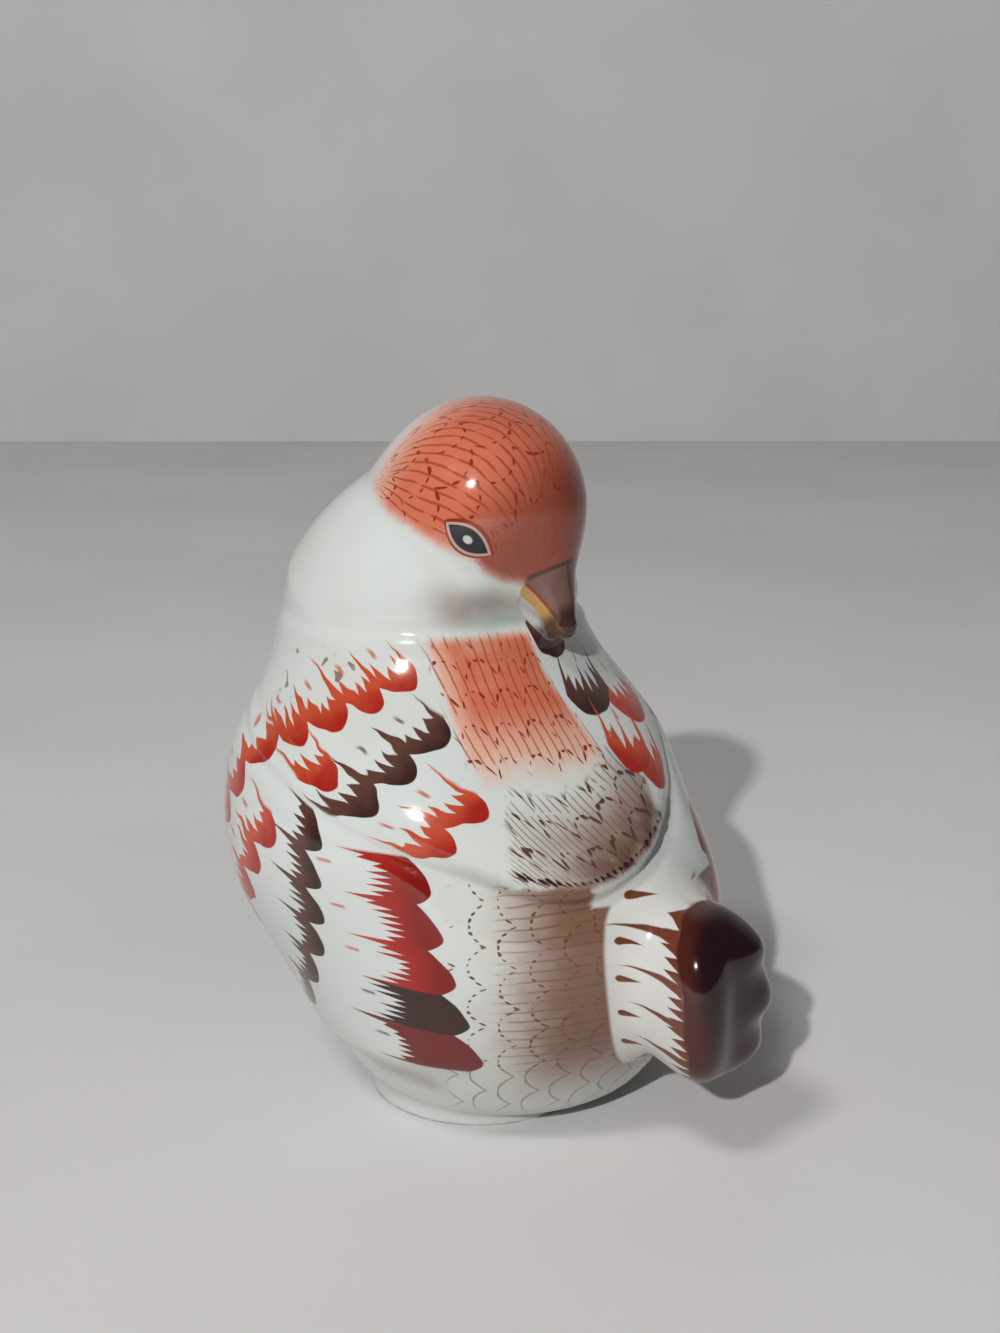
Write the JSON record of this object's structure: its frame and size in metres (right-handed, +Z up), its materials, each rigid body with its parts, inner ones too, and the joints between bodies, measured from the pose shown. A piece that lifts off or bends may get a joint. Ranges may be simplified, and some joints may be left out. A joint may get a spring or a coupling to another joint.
{
  "type": "bird figurine",
  "caption": "Hollow glazed porcelain bird looking back over its right shoulder, beak resting on its back, with hand-painted plumage and a flat foot.",
  "frame": {"origin": "on the foot's flat underside, below the middle plane of the bird's body", "axes": "+Z up, breast towards -Y, tail side towards +Y, the bird's left wing towards +X"},
  "size_m": [0.0631, 0.0791, 0.0926],
  "materials": {
    "glazed_porcelain": "glossy"
  },
  "bodies": {
    "root": {"bird_figurine": "glazed_porcelain"}
  },
  "joints": []
}
